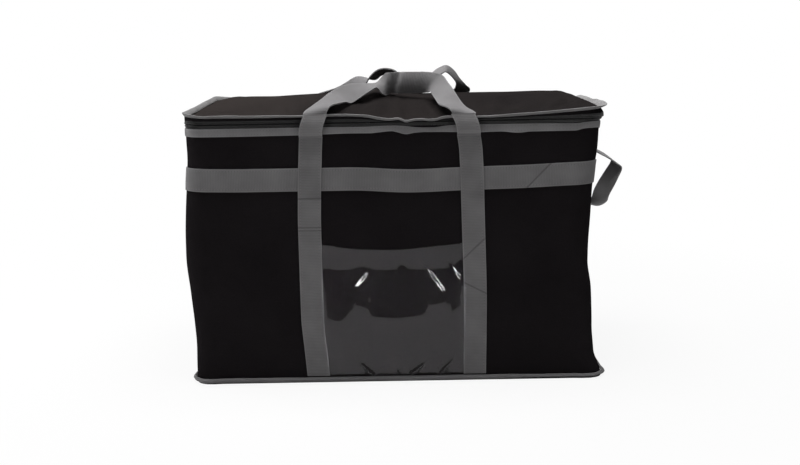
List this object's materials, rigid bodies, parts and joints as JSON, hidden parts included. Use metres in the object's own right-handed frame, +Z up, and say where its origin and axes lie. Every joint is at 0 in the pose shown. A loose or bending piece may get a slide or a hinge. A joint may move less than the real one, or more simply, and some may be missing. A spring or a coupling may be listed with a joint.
{
  "type": "insulated cooler bag",
  "caption": "Soft box-shaped insulated cooler bag with a padded zip lid, webbing band and straps, carry handles, end grab loops and a clear front pocket.",
  "frame": {"origin": "centre of the underside of the base, on the floor", "axes": "+Z up; front with the clear pocket towards -Y; +X along the bag's length, to the right as seen from the front"},
  "size_m": [0.6579, 0.3408, 0.4498],
  "materials": {
    "black_fabric": "coated woven polypropylene, softly creased",
    "grey_webbing": "ribbed webbing",
    "grey_binding": "folded woven tape",
    "clear_vinyl": "clear flexible film",
    "white_foam": "closed-cell foam sheet",
    "silver_foil": "foil-faced film, crinkled",
    "black_board": "stiff board",
    "black_tape": "zip tape with a plastic coil",
    "black_metal": "black lacquered zinc"
  },
  "bodies": {
    "shell": {"front_panel": "black_fabric", "back_panel": "black_fabric", "left_end_panel": "black_fabric", "right_end_panel": "black_fabric", "base_panel": "black_fabric", "base_board": "black_board", "base_foam": "white_foam", "front_foam": "white_foam", "back_foam": "white_foam", "left_end_foam": "white_foam", "right_end_foam": "white_foam", "foil_liner": "silver_foil", "base_binding": "grey_binding", "top_binding": "grey_binding", "webbing_band": "grey_webbing", "front_left_strap": "grey_webbing", "front_right_strap": "grey_webbing", "back_left_strap": "grey_webbing", "back_right_strap": "grey_webbing", "clear_pocket": "clear_vinyl", "zip_tape_lower": "black_tape"},
    "lid": {"lid_panel": "black_fabric", "lid_foam": "white_foam", "lid_foil": "silver_foil", "lid_band": "black_fabric", "lid_binding": "grey_binding", "zip_tape_upper": "black_tape", "lid_hinge_strip": "black_fabric"},
    "front_handle_ends": {"front_handle_left_end": "grey_webbing", "front_handle_right_end": "grey_webbing"},
    "front_handle": {"front_handle_loop": "grey_webbing"},
    "back_handle_ends": {"back_handle_left_end": "grey_webbing", "back_handle_right_end": "grey_webbing"},
    "back_handle": {"back_handle_loop": "grey_webbing"},
    "right_loop": {"right_end_handle": "grey_webbing"},
    "left_loop": {"left_end_handle": "grey_webbing"},
    "front_slider": {"front_zip_slider": "black_metal"},
    "front_pull": {"front_zip_pull": "black_metal"},
    "rear_slider": {"rear_zip_slider": "black_metal"},
    "rear_pull": {"rear_zip_pull": "black_metal"}
  },
  "joints": [
    {"name": "lid_open", "type": "hinge", "parent": "shell", "child": "lid", "pos_m": [0, 0.1584, 0.3675], "axis": [-1, 0, 0], "range_deg": [0, 105], "deforming": ["front_handle_loop", "back_handle_loop"]},
    {"name": "front_handle_fold", "type": "hinge", "parent": "shell", "child": "front_handle_ends", "pos_m": [0, -0.1615, 0.3522], "axis": [1, 0, 0], "range_deg": [0, 120]},
    {"name": "front_handle_swing", "type": "hinge", "parent": "front_handle_ends", "child": "front_handle", "pos_m": [0, -0.1682, 0.3865], "axis": [1, 0, 0], "range_deg": [0, 110]},
    {"name": "back_handle_fold", "type": "hinge", "parent": "shell", "child": "back_handle_ends", "pos_m": [0, 0.1615, 0.3522], "axis": [-1, 0, 0], "range_deg": [0, 120]},
    {"name": "back_handle_swing", "type": "hinge", "parent": "back_handle_ends", "child": "back_handle", "pos_m": [0, 0.1682, 0.3865], "axis": [-1, 0, 0], "range_deg": [0, 110]},
    {"name": "right_handle_lift", "type": "hinge", "parent": "shell", "child": "right_loop", "pos_m": [0.287, 0, 0.278], "axis": [0, -1, 0], "range_deg": [0, 45], "deforming": ["right_end_handle"]},
    {"name": "left_handle_lift", "type": "hinge", "parent": "shell", "child": "left_loop", "pos_m": [-0.287, 0, 0.278], "axis": [0, 1, 0], "range_deg": [0, 95], "deforming": ["left_end_handle"]},
    {"name": "front_slider_slide", "type": "slide", "parent": "shell", "child": "front_slider", "axis": [0, -1, 0], "range_m": [0, 0.095]},
    {"name": "front_pull_swing", "type": "hinge", "parent": "front_slider", "child": "front_pull", "pos_m": [-0.2891, -0.012, 0.3713], "axis": [0, 0, -1], "range_deg": [0, 170]},
    {"name": "rear_slider_slide", "type": "slide", "parent": "shell", "child": "rear_slider", "axis": [0, 1, 0], "range_m": [0, 0.07]},
    {"name": "rear_pull_swing", "type": "hinge", "parent": "rear_slider", "child": "rear_pull", "pos_m": [-0.2891, 0.012, 0.3713], "axis": [0, 0, 1], "range_deg": [0, 170]}
  ],
  "couplings": [
    {"joint": "front_handle_fold", "follows": "lid_open", "ratio": 1.1429},
    {"joint": "back_handle_fold", "follows": "lid_open", "ratio": 1.1429}
  ]
}
